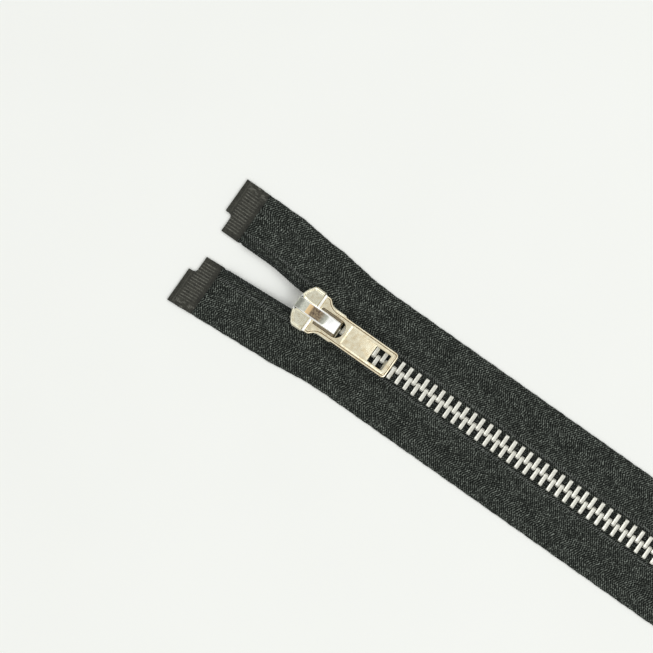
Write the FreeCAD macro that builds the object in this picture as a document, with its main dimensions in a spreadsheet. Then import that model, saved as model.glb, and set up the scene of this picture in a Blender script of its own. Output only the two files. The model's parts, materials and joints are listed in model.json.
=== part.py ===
import FreeCAD, Part
import math
import os
import re

import Sketcher
from FreeCAD import Matrix, Placement, Rotation, Vector

# A separating metal zipper, closed, lying face up. +X runs up the chain to the free top ends,
# +Y is the left tape (the box side), +Z is up. The origin is the middle of the length, on the
# chain's centre line, at the level of the table. All sizes are in millimetres.

doc = FreeCAD.newDocument("zipper")
sheet = doc.addObject("Spreadsheet::Sheet", "dims")

DIMENSIONS = [
    # the whole zipper, measured along the chain from the bottom end of the box
    ("zip_length", 178.0),  # to the front of the closed slider: a seven inch zipper
    ("half_length", 103.55),
    ("right_end", 207.1),  # cut ends of the two tapes
    ("left_end", 206.2),
    ("chain_height", 2.2),  # middle of the tape and of the teeth above the table
    # tape
    ("tape_half", 0.25),
    ("core_half", 0.17),  # half the thickness left between two reinforcing films
    ("tape_edge", 15.85),  # outer edge from the centre line
    ("droop_start", 6.5),
    ("droop_end", 10.5),
    ("tape_clearance", 0.01),
    ("notch_width", 5.0),
    ("notch_depth", 2.1),
    ("film_length", 7.3),  # reinforcing film at the top ends
    ("notch_radius", 1.0),
    # bead cord inside the inner edge of each tape
    ("bead_radius", 0.75),
    ("bead_centre", 1.6),
    # teeth
    ("pitch", 2.54),
    ("tooth_thickness", 1.02),
    ("tooth_tip", 0.77),  # how far a tooth reaches past the centre line
    ("tooth_tail", 2.98),  # outer end of the clamping legs
    ("tooth_slant", 0.45),  # blunting of the upper and lower corner of the tip
    ("tooth_half_height", 1.15),
    ("leg_half_height", 0.75),
    ("tooth_grip", 0.8),  # radius of the hole crimped round the bead
    ("leg_slot", 0.27),
    ("nib_height", 0.36),
    ("nib_half", 0.35),
    ("nib_half_height", 0.45),
    ("recess_depth", 0.2),
    ("recess_half", 0.47),
    ("recess_half_height", 0.6),
    ("first_tooth", 21.5),
    ("stop_start", 175.3),  # top stops, inside the mouth of the closed slider
    ("stop_length", 2.4),
    ("stop_inner", 0.55),
    # foot: retainer box and the two pins
    ("box_length", 7.0),
    ("box_half_width", 3.6),
    ("box_half_height", 1.75),
    ("box_floor", 0.8),
    ("box_web", 0.8),
    ("socket_half_height", 1.2),
    ("socket_edge", 3.05),
    ("socket_slot", 0.32),
    ("box_bevel", 0.7),
    ("box_rounding", 0.2),
    ("pin_bottom", 0.85),
    ("pin_top", 20.5),
    ("pin_inner", 0.9),
    ("foot_bead_radius", 0.54),
    ("foot_bead_centre", 1.75),
    ("pin_grip", 0.56),
    ("pin_taper", 0.35),
    ("pin_rounding", 0.25),
    ("foot_film_inner", 3.1),
    # slider, measured back from its front edge
    ("slider_length", 13.2),
    ("slider_nose", 2.3),
    ("nose_slant", 0.5),
    ("nose_flare", 1.4),
    ("shoulder_start", 1.8),
    ("shoulder_end", 5.0),
    ("waist_start", 9.0),
    ("shoulder_half", 6.12),
    ("waist_half", 4.16),
    ("waist_hollow", 0.15),  # how far the sides curve in between shoulder and waist
    ("upper_setback", 0.25),  # the upper plate is this much narrower on each side
    ("rim_rounding", 0.3),
    ("lower_plate", 0.95),
    ("upper_plate", 3.45),
    ("slider_top", 4.45),
    ("slot_low", 1.8),  # the tapes leave through the slot between the two flanges
    ("slot_high", 2.6),
    ("channel_half", 3.18),
    ("channel_run", 12.0),
    ("spread", 1.67),  # how far each row of teeth is moved aside at the slider's front
    ("post_length", 4.4),
    ("post_half_front", 0.84),
    ("post_half_tip", 0.2),
    # crown, the bridge over the slider that holds the pull
    ("crown_front_half", 2.0),
    ("crown_rear_half", 1.85),
    ("crown_length", 13.0),
    ("crown_bore_half", 1.35),
    ("crown_bore_top", 6.0),
    ("crown_top", 7.2),
    ("crown_lip", 0.5),  # height of the front edge above the plate
    ("brow_back", 1.2),
    ("brow_drop", 1.3),
    ("slope_back", 3.2),
    ("slope_drop", 0.3),
    ("ridge_back", 9.5),
    ("ridge_drop", 0.15),
    ("rear_slant", 0.5),
    ("rear_drop", 0.8),
    ("end_drop", 1.2),
    ("bore_front", 1.4),
    ("bore_lip", 0.4),
    ("bore_slope_back", 2.9),
    ("bore_rear_top", 1.6),
    ("bore_rear_foot", 1.1),
    ("taper_over", 0.1),  # the cuts that taper the sides run this far past the ends
    ("crown_rounding", 0.35),
    # pull, measured from the axis of its cross bar
    ("pintle_back", 5.5),
    ("pintle_height", 5.15),
    ("pintle_radius", 0.6),
    ("pintle_clearance", 0.12),
    ("head_half", 5.62),
    ("pull_half", 3.7),
    ("pull_length", 24.3),
    ("head_back", 1.6),
    ("neck_back", 3.8),
    ("neck_hollow", 0.25),
    ("tip_rounding", 1.0),
    ("eye_back", 9.1),
    ("eye_half", 2.55),
    ("eye_radius", 2.0),
    ("panel_front", 9.8),
    ("panel_back", 23.3),
    ("panel_half", 2.87),
    ("panel_depth", 0.2),
    ("window_front", 18.15),
    ("window_back", 22.9),
    ("window_half", 2.38),
    # locking pawl: a leaf under the crown whose hook drops between two teeth
    ("pawl_front", 6.4),
    ("pawl_back", 11.5),
    ("pawl_low", 4.6),
    ("pawl_high", 5.0),
    ("pawl_half", 1.2),
    ("hook_front", 7.75),
    ("hook_back", 8.4),
    ("hook_inner", 0.48),
    ("hook_outer", 0.86),
    ("hook_low", 3.05),
    ("hole_margin", 0.35),
    ("overshoot", 1.0),  # how far a through cut starts outside the metal
]
for row, (alias, size) in enumerate(DIMENSIONS, start=1):
    sheet.set(f"A{row}", alias)
    sheet.set(f"B{row}", str(size))
    sheet.setAlias(f"B{row}", alias)
doc.recompute()

SUBPARTS = []
X_AXIS = Vector(1, 0, 0)
Y_AXIS = Vector(0, 1, 0)
Z_AXIS = Vector(0, 0, 1)
TOUCH = 1e-4  # two places this near each other are one


def on_sheet(formula):
    """Turn a formula of plain dimension names into an expression that reads the sheet."""
    return re.sub(r"[a-z][a-z_]{2,}", lambda name: "dims." + name.group(0), formula)


def size(formula):
    """Number that a formula of dimension names gives now."""
    return float(sheet.evalExpression(on_sheet(formula)))


def place(part, x="-half_length", y="0", z="0"):
    """Bind a sub-part's position to the sheet and count it as finished."""
    for axis, formula in (("x", x), ("y", y), ("z", z)):
        part.setExpression(f"Placement.Base.{axis}", on_sheet(formula))
    SUBPARTS.append(part)


def new_body(label):
    body = doc.addObject("PartDesign::Body", label)
    body.Label = label
    return body


def outline(body, name, plane, at, corners):
    """Sketch a closed polygon whose corners are formulas, on a plane set off along its normal."""
    sketch = body.newObject("Sketcher::SketchObject", name)
    support = [item for item in body.Origin.OriginFeatures if item.Role == plane][0]
    sketch.AttachmentSupport = (support, [""])
    sketch.MapMode = "FlatFace"
    sketch.setExpression("AttachmentOffset.Base.z", on_sheet(at))
    points = [Vector(size(across), size(up), 0) for across, up in corners]
    count = len(corners)
    for index in range(count):
        sketch.addGeometry(Part.LineSegment(points[index], points[(index + 1) % count]), False)
    for index in range(count):
        sketch.addConstraint(Sketcher.Constraint("Coincident", index, 2, (index + 1) % count, 1))
    for index, (across, up) in enumerate(corners):
        for kind, formula in (("DistanceX", across), ("DistanceY", up)):
            rule = Sketcher.Constraint(kind, -1, 1, index, 1, size(formula))
            number = sketch.addConstraint(rule)
            sketch.setExpression(f"Constraints[{number}]", on_sheet(formula))
    return sketch


def disc(body, name, plane, at, centre, radius):
    """Sketch one circle whose centre and radius are formulas."""
    sketch = body.newObject("Sketcher::SketchObject", name)
    support = [item for item in body.Origin.OriginFeatures if item.Role == plane][0]
    sketch.AttachmentSupport = (support, [""])
    sketch.MapMode = "FlatFace"
    sketch.setExpression("AttachmentOffset.Base.z", on_sheet(at))
    middle = Vector(size(centre[0]), size(centre[1]), 0)
    sketch.addGeometry(Part.Circle(middle, Vector(0, 0, 1), size(radius)), False)
    for kind, formula in (("DistanceX", centre[0]), ("DistanceY", centre[1])):
        number = sketch.addConstraint(Sketcher.Constraint(kind, -1, 1, 0, 3, size(formula)))
        sketch.setExpression(f"Constraints[{number}]", on_sheet(formula))
    number = sketch.addConstraint(Sketcher.Constraint("Radius", 0, size(radius)))
    sketch.setExpression(f"Constraints[{number}]", on_sheet(radius))
    return sketch


def pad(body, sketch, length):
    """Grow the sketch along its plane's normal."""
    feature = body.newObject("PartDesign::Pad", sketch.Name + "_pad")
    feature.Profile = sketch
    feature.setExpression("Length", on_sheet(length))
    doc.recompute()
    return feature


def pocket(body, sketch, depth):
    """Cut the sketch against its plane's normal, and make sure that something was cut."""
    before = body.Shape.Volume
    feature = body.newObject("PartDesign::Pocket", sketch.Name + "_pocket")
    feature.Profile = sketch
    feature.setExpression("Length", on_sheet(depth))
    doc.recompute()
    if not 0 < body.Shape.Volume < before:
        raise RuntimeError(sketch.Name + " cuts nothing")
    return feature


def fillet(body, radius, wanted, kind="Fillet"):
    """Round, or chamfer, the body's edges that the test picks."""
    base = body.Tip
    names = [f"Edge{n}" for n, edge in enumerate(base.Shape.Edges, start=1) if wanted(edge)]
    if not names:
        raise RuntimeError(body.Label + " has no edge to round")
    feature = body.newObject("PartDesign::" + kind, f"{body.Name}_{kind.lower()}")
    feature.Base = (base, names)
    feature.setExpression("Radius" if kind == "Fillet" else "Size", on_sheet(radius))
    doc.recompute()
    return feature


def along(edge, direction):
    """True for a straight edge parallel to the direction."""
    if edge.Curve.TypeId != "Part::GeomLine":
        return False
    return abs(abs(edge.tangentAt(edge.FirstParameter).dot(direction)) - 1) < TOUCH


def mirrored(corners):
    """Corners of one half, followed by their mirror images across the X axis."""
    return corners + [(across, f"-({up})") for across, up in reversed(corners)]


def box_corners(low_a, high_a, low_b, high_b):
    return [(low_a, low_b), (high_a, low_b), (high_a, high_b), (low_a, high_b)]


SIDES = (("left", 1), ("right", -1))


# The path of a row of teeth: straight up the chain, then aside in the slider on two equal
# arcs that bend opposite ways, so that the row leaves the slider's front parallel again.
RUN = size("channel_run")
SPREAD = size("spread")
BEND_START = size("zip_length") - RUN
SWEEP = 2 * math.atan(SPREAD / RUN)
BEND = RUN / (2 * math.sin(SWEEP))


def drift(x):
    """How far the path has moved aside at a place along the chain inside the slider."""
    travelled = x - BEND_START
    if travelled <= 0:
        return 0.0
    if travelled <= RUN / 2:
        return BEND - math.sqrt(BEND**2 - travelled**2)
    left_to_go = max(RUN - travelled, 0.0)
    return SPREAD - BEND + math.sqrt(BEND**2 - left_to_go**2)


def on_path(distance):
    """Place along the chain, sideways drift and heading after a distance along the path."""
    travelled = distance - BEND_START
    if travelled <= 0:
        return distance, 0.0, 0.0
    half = BEND * SWEEP
    if travelled <= half:
        heading = travelled / BEND
        return BEND_START + BEND * math.sin(heading), BEND * (1 - math.cos(heading)), heading
    heading = (2 * half - travelled) / BEND
    x = BEND_START + RUN - BEND * math.sin(heading)
    return x, SPREAD - BEND * (1 - math.cos(heading)), heading


# Beyond the slider the tapes are free. The left one leans away from the chain line, the right
# one runs beside it, and both come down from the slider's mouth to the table.
FREE_SLOPE_LEFT = 0.067
FREE_SHIFT_RIGHT = 1.0
SHIFT_RUN = 12.0
SETTLE_RUN = 15.0
TAPE_SECTIONS = 24
CORD_SECTIONS = 14
FLANGE_SHARES = (1.0, 0.75, 0.5, 0.25, 0.1)  # where the channel's wall has its corners
LENGTHWISE = 0.2  # an edge that leans toward Y by less than this runs lengthwise


def ease(share):
    share = min(max(share, 0.0), 1.0)
    return share * share * (3 - 2 * share)


def free_drift(side, x):
    """How far the inner edge of a tape stands off its place in the closed chain."""
    ahead = x - size("zip_length")
    if ahead <= 0:
        return drift(x)
    if side > 0:
        return SPREAD + FREE_SLOPE_LEFT * ahead
    return SPREAD + FREE_SHIFT_RIGHT * ease(ahead / SHIFT_RUN)


def free_height(x, resting):
    """Height of the tape's inner edge, from the slider's mouth down to where it rests."""
    ahead = x - size("zip_length")
    height = size("chain_height")
    return height + (resting - height) * ease(ahead / SETTLE_RUN)


def tape_profile(inner, half):
    """Cross-section of a tape in the closed chain: level, then down to a flat sewing margin."""
    line = [
        (inner, "chain_height"),
        ("droop_start", "chain_height"),
        ("droop_end", "tape_half"),
        ("tape_edge", "tape_half"),
    ]
    top = [(across, f"{up} + {half}") for across, up in line]
    bottom = [(across, f"{up} - {half}") for across, up in reversed(line)]
    return top + bottom


def on_side(corners, side):
    return [(f"{side} * ({across})", up) for across, up in corners]


# ---- foot of each tape, stiffened by reinforcing film on both faces ----


def make_foot(label, side):
    core = new_body(f"{label}_tape_foot")
    profile = tape_profile("foot_bead_centre + foot_bead_radius + tape_clearance", "core_half")
    section = outline(core, f"{label}_foot_section", "YZ_Plane", "0", on_side(profile, side))
    pad(core, section, "pin_top")
    place(core)

    film = "tape_half - core_half"
    skins = (("face", "tape_half"), ("back", "-core_half"))
    for surface, top in skins:
        body = new_body(f"{label}_foot_{surface}_film")
        line = tape_profile("foot_film_inner", "0")[:4]
        high = [(across, f"{up} + {top}") for across, up in line]
        low = [(across, f"{up} + {top} - ({film})") for across, up in reversed(line)]
        name = f"{label}_{surface}_film_section"
        pad(body, outline(body, name, "YZ_Plane", "0", on_side(high + low, side)), "pin_top")
        place(body)

    bead = doc.addObject("Part::Cylinder", f"{label}_bead_foot")
    bead.Label = f"{label}_bead_foot"
    bead.setExpression("Radius", on_sheet("foot_bead_radius"))
    bead.setExpression("Height", on_sheet("pin_top - pin_bottom - tape_clearance"))
    bead.Placement = Placement(Vector(), Rotation(Y_AXIS, 90))
    start = "pin_bottom + tape_clearance - half_length"
    place(bead, x=start, y=f"{side} * foot_bead_centre", z="chain_height")


# ---- retainer box, box pin and insertion pin ----


def make_box():
    box = new_body("retainer_box")
    rim = box_corners("-box_half_width", "box_half_width", "-box_half_height", "box_half_height")
    pad(box, outline(box, "box_section", "YZ_Plane", "0", rim), "box_length")
    fillet(box, "box_bevel", lambda edge: along(edge, X_AXIS))
    for label, side in SIDES:
        socket = box_corners(
            "box_web", "socket_edge", "-socket_half_height", "socket_half_height"
        )
        bore = outline(box, f"{label}_socket", "YZ_Plane", "box_length", on_side(socket, side))
        pocket(box, bore, "box_length - box_floor")
        outside = "2 * box_half_width"
        slot = box_corners("socket_edge - box_web", outside, "-socket_slot", "socket_slot")
        gap = outline(box, f"{label}_tape_slot", "YZ_Plane", "box_length", on_side(slot, side))
        pocket(box, gap, "box_length")
    wide = size("box_half_width")
    fillet(box, "box_rounding", lambda edge: along(edge, Y_AXIS) and edge.Length > wide)
    place(box, z="chain_height")


def make_pin(label, side, tapered_bottom):
    """A strip crimped over the tape's edge; the insertion pin's lower end is tapered."""
    pin = new_body(label)
    bar = box_corners("pin_inner", "tooth_tail", "-tooth_half_height", "tooth_half_height")
    section = outline(pin, f"{label}_section", "YZ_Plane", "pin_bottom", on_side(bar, side))
    pad(pin, section, "pin_top - pin_bottom")

    def at_end(edge):
        place_x = edge.CenterOfMass.x
        upper = abs(place_x - size("pin_top")) < TOUCH
        lower = abs(place_x - size("pin_bottom")) < TOUCH
        return along(edge, Y_AXIS) and (upper or (lower and tapered_bottom))

    fillet(pin, "pin_taper", at_end, kind="Chamfer")
    fillet(pin, "pin_rounding", lambda edge: along(edge, X_AXIS))
    centre = (f"{side} * foot_bead_centre", "0")
    grip = disc(pin, f"{label}_grip", "YZ_Plane", "pin_top", centre, "pin_grip")
    pocket(pin, grip, "pin_top - pin_bottom")
    slot = box_corners("foot_bead_centre", "2 * tooth_tail", "-leg_slot", "leg_slot")
    gap = outline(pin, f"{label}_slot", "YZ_Plane", "pin_top", on_side(slot, side))
    pocket(pin, gap, "pin_top - pin_bottom")
    place(pin, z="chain_height")


# ---- teeth and top stops, clamped round the bead cord ----


def clamp_profile(inner):
    """Half of a clamp's cross-section: blunt nose, full height over the bead, thinner tail."""
    return [
        (f"{inner}", "tooth_half_height - tooth_slant"),
        (f"{inner} + tooth_slant", "tooth_half_height"),
        ("bead_centre + bead_radius", "tooth_half_height"),
        ("tooth_tail", "leg_half_height"),
    ]


def make_clamp(name, inner, thickness):
    """One clamp in the middle of the chain's height, centred on its own place along it."""
    clamp = new_body(name)
    upper = clamp_profile(inner)
    half = f"{thickness} / 2"
    section = outline(clamp, f"{name}_section", "YZ_Plane", f"-{half}", mirrored(upper))
    pad(clamp, section, thickness)
    grip = disc(clamp, f"{name}_grip", "YZ_Plane", half, ("bead_centre", "0"), "tooth_grip")
    pocket(clamp, grip, thickness)
    slot = box_corners("bead_centre", "2 * tooth_tail", "-leg_slot", "leg_slot")
    pocket(clamp, outline(clamp, f"{name}_slot", "YZ_Plane", half, slot), thickness)
    return clamp


def make_tooth():
    """A tooth has a nib on its upper side that sits in the recess of the tooth above it."""
    tooth = make_clamp("tooth", "-tooth_tip", "tooth_thickness")
    nib = box_corners("-nib_half", "nib_half", "-nib_half_height", "nib_half_height")
    face = "tooth_thickness / 2"
    pad(tooth, outline(tooth, "nib", "YZ_Plane", face, nib), "nib_height")
    hollow = box_corners(
        "-recess_half", "recess_half", "-recess_half_height", "recess_half_height"
    )
    bottom = f"recess_depth - {face}"
    pocket(tooth, outline(tooth, "recess", "YZ_Plane", bottom, hollow), "recess_depth")
    return tooth


def set_on_bead(shape, side, distance):
    """Copy of a clamp, turned and moved to its distance along one side's path."""
    x, aside, heading = on_path(distance)
    copy = shape.copy()
    pivot = Vector(0, size("bead_centre"), 0)
    copy.rotate(pivot, Z_AXIS, math.degrees(heading))
    copy.translate(Vector(x, aside, 0))
    if side < 0:
        copy = copy.mirror(Vector(), Y_AXIS)
    return copy


def make_teeth(tooth):
    last = size("stop_start") - size("tooth_thickness") - size("nib_height")
    for label, side in SIDES:
        start = size("first_tooth") + (0 if side < 0 else size("pitch") / 2)
        count = 1 + int((last - start) / size("pitch"))
        copies = [set_on_bead(tooth.Shape, side, start + n * size("pitch")) for n in range(count)]
        row = doc.addObject("Part::Feature", f"{label}_teeth")
        row.Label = f"{label}_teeth"
        row.Shape = Part.makeCompound(copies)
        place(row, z="chain_height")


def make_top_stops(stop):
    middle = size("stop_start + stop_length / 2")
    for label, side in SIDES:
        part = doc.addObject("Part::Feature", f"{label}_top_stop")
        part.Label = f"{label}_top_stop"
        part.Shape = Part.makeCompound([set_on_bead(stop.Shape, side, middle)])
        place(part, z="chain_height")


# ---- tapes and bead cords ----


def tape_section(side, x, half):
    """Cross-section wire of a tape anywhere along the chain."""
    ahead = x - size("zip_length")
    aside = free_drift(side, x)
    outer_start = BEND_START - RUN
    outer_aside = aside
    if ahead < 0:
        outer_aside = SPREAD * ease((x - outer_start) / (2 * RUN)) ** 2
    flat = size("tape_half")
    edge_height = free_height(x, size("bead_radius"))
    settled = free_height(x, flat)
    clear = size("bead_centre + bead_radius + tape_clearance")
    line = [
        (clear + aside, edge_height if ahead > 0 else size("chain_height")),
        (size("droop_start") + aside, settled),
        (size("droop_end") + outer_aside, flat),
        (size("tape_edge") + outer_aside, flat),
    ]
    top = [Vector(x, side * y, z + half) for y, z in line]
    bottom = [Vector(x, side * y, z - half) for y, z in reversed(line)]
    return Part.makePolygon(top + bottom + top[:1])


def flat_end(side, start, end, low, high):
    """The last, flat stretch of a tape, or of one film on it, notched at its inner corner."""
    inner = size("bead_centre") - size("bead_radius") + free_drift(side, start)
    outer = size("tape_edge") + free_drift(side, start)
    lean = FREE_SLOPE_LEFT * (end - start) if side > 0 else 0.0
    notch = size("notch_width")
    step = size("notch_depth")
    corners = [
        (start, inner),
        (end - step, inner + lean),
        (end - step, inner + lean + notch),
        (end, inner + lean + notch),
        (end, outer + lean),
        (start, outer),
    ]
    points = [Vector(x, side * y, low) for x, y in corners]
    plate = Part.Face(Part.makePolygon(points + points[:1])).extrude(Vector(0, 0, high - low))
    root = Vector(end - step, side * (inner + lean + notch), (low + high) / 2)
    rounded = [edge for edge in plate.Edges if (edge.CenterOfMass - root).Length < TOUCH]
    return plate.makeFillet(size("notch_radius"), rounded)


def make_tape(label, side):
    start = size("pin_top")
    bend = BEND_START - RUN
    film_start = size(f"{label}_end - film_length")
    half = size("tape_half")
    straight = Part.Face(tape_section(side, start, half)).extrude(Vector(bend - start, 0, 0))
    stretch = (film_start - bend) / TAPE_SECTIONS
    stations = [bend + stretch * n for n in range(TAPE_SECTIONS + 1)]
    sections = [tape_section(side, x, half) for x in stations]
    free = Part.makeLoft(sections, True, True)
    end = size(f"{label}_end")
    thin = size("tape_half - core_half")
    tip = flat_end(side, film_start, end, thin, 2 * half - thin)
    tape = doc.addObject("Part::Feature", f"{label}_tape")
    tape.Label = f"{label}_tape"
    tape.Shape = straight.fuse(free).fuse(tip).removeSplitter()
    place(tape)

    for surface, low in (("face", 2 * half - thin), ("back", 0.0)):
        film = doc.addObject("Part::Feature", f"{label}_top_{surface}_film")
        film.Label = f"{label}_top_{surface}_film"
        film.Shape = flat_end(side, film_start, end, low, low + thin)
        place(film)


def make_bead(label, side):
    """A round cord along the tape's inner edge, from the pin to the film at the top end."""
    end = size(f"{label}_end - film_length")
    last = size("zip_length")
    centre = size("bead_centre")
    height = size("chain_height")

    def spot(x, aside, z):
        return Vector(x, side * (centre + aside), z)

    bend_end = BEND_START + RUN
    mid = BEND_START + RUN / 2
    quarter = BEND * math.sin(SWEEP / 2)
    runs = [
        Part.LineSegment(spot(size("pin_top"), 0, height), spot(BEND_START, 0, height)),
        Part.Arc(
            spot(BEND_START, 0, height),
            spot(BEND_START + quarter, drift(BEND_START + quarter), height),
            spot(mid, SPREAD / 2, height),
        ),
        Part.Arc(
            spot(mid, SPREAD / 2, height),
            spot(bend_end - quarter, drift(bend_end - quarter), height),
            spot(bend_end, SPREAD, height),
        ),
    ]
    inside = Part.Wire([run.toShape() for run in runs])
    circle = Part.Circle(spot(size("pin_top"), 0, height), X_AXIS, size("bead_radius"))
    profile = Part.Wire([circle.toShape()])
    cord = inside.makePipeShell([profile], True, False)

    rings = []
    for n in range(CORD_SECTIONS + 1):
        x = last + (end - last) * n / CORD_SECTIONS
        middle = spot(x, free_drift(side, x), free_height(x, size("bead_radius")))
        rings.append(Part.Wire([Part.Circle(middle, X_AXIS, size("bead_radius")).toShape()]))
    free = Part.makeLoft(rings, True, False)
    bead = doc.addObject("Part::Feature", f"{label}_bead_cord")
    bead.Label = f"{label}_bead_cord"
    bead.Shape = cord.fuse(free).removeSplitter()
    place(bead)


# ---- slider: body, crown, pawl and pull, each placed from the slider's front ----


def slider_outline(nose, shoulder):
    half = [
        ("0", nose),
        ("-nose_slant", f"{nose} + nose_flare"),
        ("-shoulder_start", shoulder),
        ("-shoulder_end", shoulder),
        ("-(shoulder_end + waist_start) / 2", f"(waist_half + {shoulder}) / 2 - waist_hollow"),
        ("-waist_start", "waist_half"),
        ("-slider_length", "waist_half"),
    ]
    return mirrored(half)


def flange_corners(side, setback):
    """Side wall: its inner face keeps beside the row of teeth, its outer face ends the plate."""
    inner = []
    for share in FLANGE_SHARES:
        x = size("zip_length") - share * RUN
        inner.append((f"-{share} * channel_run", f"channel_half + {drift(x):.3f}"))
    outer = [
        ("-shoulder_start", f"shoulder_half - {setback}"),
        ("-shoulder_end", f"shoulder_half - {setback}"),
        (
            "-(shoulder_end + waist_start) / 2",
            f"(waist_half + shoulder_half) / 2 - waist_hollow - {setback}",
        ),
        ("-waist_start", f"waist_half - {setback}"),
        ("-slider_length", f"waist_half - {setback}"),
        ("-slider_length", "channel_half"),
    ]
    corners = inner + outer
    return [(x, f"{side} * ({y})") for x, y in corners]


def make_slider_body():
    body = new_body("slider_body")
    lower = slider_outline("slider_nose", "shoulder_half")
    pad(body, outline(body, "lower_plate_outline", "XY_Plane", "0", lower), "lower_plate")
    wedge = mirrored([("0", "post_half_front"), ("-post_length", "post_half_tip")])
    post = outline(body, "post_outline", "XY_Plane", "lower_plate", wedge)
    pad(body, post, "upper_plate - lower_plate")
    upper = slider_outline("slider_nose", "shoulder_half - upper_setback")
    plate = outline(body, "upper_plate_outline", "XY_Plane", "upper_plate", upper)
    pad(body, plate, "slider_top - upper_plate")
    for label, side in SIDES:
        wall = flange_corners(side, "0")
        low = outline(body, f"{label}_low_flange", "XY_Plane", "lower_plate", wall)
        pad(body, low, "slot_low - lower_plate")
        wall = flange_corners(side, "upper_setback")
        high = outline(body, f"{label}_top_flange", "XY_Plane", "slot_high", wall)
        pad(body, high, "upper_plate - slot_high")
    hole = box_corners(
        "-hook_back - hole_margin",
        "-hook_front + hole_margin",
        "-hook_outer - hole_margin",
        "hole_margin - hook_inner",
    )
    plate_hole = outline(body, "pawl_hole", "XY_Plane", "slider_top", hole)
    pocket(body, plate_hole, "slider_top - upper_plate")
    hole_x = -size("(hook_front + hook_back) / 2")
    hole_y = -size("(hook_inner + hook_outer) / 2")
    reach = size("hook_back - hook_front + hole_margin")

    def top_rim(edge):
        middle = edge.CenterOfMass
        on_top = abs(middle.z - size("slider_top")) < TOUCH
        in_hole = abs(middle.x - hole_x) < reach and abs(middle.y - hole_y) < reach
        return on_top and not in_hole

    fillet(body, "rim_rounding", top_rim)
    place(body, x="zip_length - half_length")


def make_crown():
    """A bridge with a long slope at its front and a short one behind, hollow from below."""
    crown = new_body("slider_crown")
    profile = [
        ("0", "slider_top"),
        ("0", "slider_top + crown_lip"),
        ("-brow_back", "crown_top - brow_drop"),
        ("-slope_back", "crown_top - slope_drop"),
        ("-pintle_back", "crown_top"),
        ("-ridge_back", "crown_top - ridge_drop"),
        ("-crown_length + rear_slant", "crown_top - rear_drop"),
        ("-crown_length", "crown_top - end_drop"),
        ("-crown_length", "slider_top"),
    ]
    side_view = outline(crown, "crown_profile", "XZ_Plane", "-crown_front_half", profile)
    pad(crown, side_view, "2 * crown_front_half")
    for label, side in SIDES:
        taper = [
            ("taper_over", "crown_front_half"),
            ("-crown_length", "crown_rear_half"),
            ("-crown_length - taper_over", "2 * crown_front_half"),
            ("taper_over", "2 * crown_front_half"),
        ]
        corners = [(x, f"{side} * ({y})") for x, y in taper]
        above = "crown_top + overshoot"
        cut = outline(crown, f"{label}_crown_taper", "XY_Plane", above, corners)
        pocket(crown, cut, "crown_top")
    bore = [
        ("-bore_front", "slider_top"),
        ("-bore_front", "slider_top + bore_lip"),
        ("-bore_slope_back", "crown_bore_top"),
        ("-crown_length + bore_rear_top", "crown_bore_top"),
        ("-crown_length + bore_rear_foot", "slider_top"),
    ]
    hollow = outline(crown, "crown_bore", "XZ_Plane", "crown_bore_half", bore)
    pocket(crown, hollow, "2 * crown_bore_half")
    reach = "pintle_radius + pintle_clearance"
    gate = box_corners(
        f"-pintle_back - ({reach})",
        f"-pintle_back + {reach}",
        "slider_top",
        f"pintle_height + {reach}",
    )
    doorway = outline(crown, "pintle_gate", "XZ_Plane", "2 * crown_front_half", gate)
    pocket(crown, doorway, "4 * crown_front_half")

    gate_top = size(f"pintle_height + {reach}")

    def top_edge(edge):
        middle = edge.CenterOfMass
        high = middle.z > size("slider_top + crown_lip")
        outside = abs(middle.y) > size("crown_bore_half") + TOUCH
        lengthwise = abs(edge.tangentAt(edge.FirstParameter).dot(Y_AXIS)) < LENGTHWISE
        at_gate = abs(middle.x + size("pintle_back")) < size(reach) + TOUCH
        return high and outside and lengthwise and not (at_gate and middle.z < gate_top + TOUCH)

    fillet(crown, "crown_rounding", top_edge)
    place(crown, x="zip_length - half_length")


def make_pawl():
    pawl = new_body("lock_pawl")
    leaf = box_corners("-pawl_back", "-pawl_front", "-pawl_half", "pawl_half")
    pad(pawl, outline(pawl, "leaf", "XY_Plane", "pawl_low", leaf), "pawl_high - pawl_low")
    hook = box_corners("-hook_back", "-hook_front", "-hook_outer", "-hook_inner")
    pad(pawl, outline(pawl, "hook", "XY_Plane", "hook_low", hook), "pawl_low - hook_low")
    place(pawl, x="zip_length - half_length")


def make_pull():
    pull = new_body("pull_tab")
    half = [
        ("0", "head_half"),
        ("-head_back", "head_half"),
        ("-(head_back + neck_back) / 2", "(head_half + pull_half) / 2 - neck_hollow"),
        ("-neck_back", "pull_half"),
        ("-pull_length", "pull_half"),
    ]
    shape = outline(pull, "pull_outline", "XY_Plane", "-pintle_radius", mirrored(half))
    pad(pull, shape, "2 * pintle_radius")

    def upright_at(edge, back):
        return along(edge, Z_AXIS) and abs(edge.CenterOfMass.x + size(back)) < TOUCH

    fillet(pull, "tip_rounding", lambda edge: upright_at(edge, "pull_length"))
    eye = box_corners("-eye_back", "pintle_radius", "-eye_half", "eye_half")
    pocket(pull, outline(pull, "eye", "XY_Plane", "overshoot", eye), "2 * overshoot")
    fillet(pull, "eye_radius", lambda edge: upright_at(edge, "eye_back"))
    panel = box_corners("-panel_back", "-panel_front", "-panel_half", "panel_half")
    sunk = outline(pull, "panel", "XY_Plane", "pintle_radius", panel)
    pocket(pull, sunk, "panel_depth")
    opening = box_corners("-window_back", "-window_front", "-window_half", "window_half")
    pocket(pull, outline(pull, "window", "XY_Plane", "overshoot", opening), "2 * overshoot")
    bar = disc(pull, "pintle", "XZ_Plane", "-head_half", ("0", "0"), "pintle_radius")
    pad(pull, bar, "2 * head_half")
    place(pull, x="zip_length - pintle_back - half_length", z="pintle_height")


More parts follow.
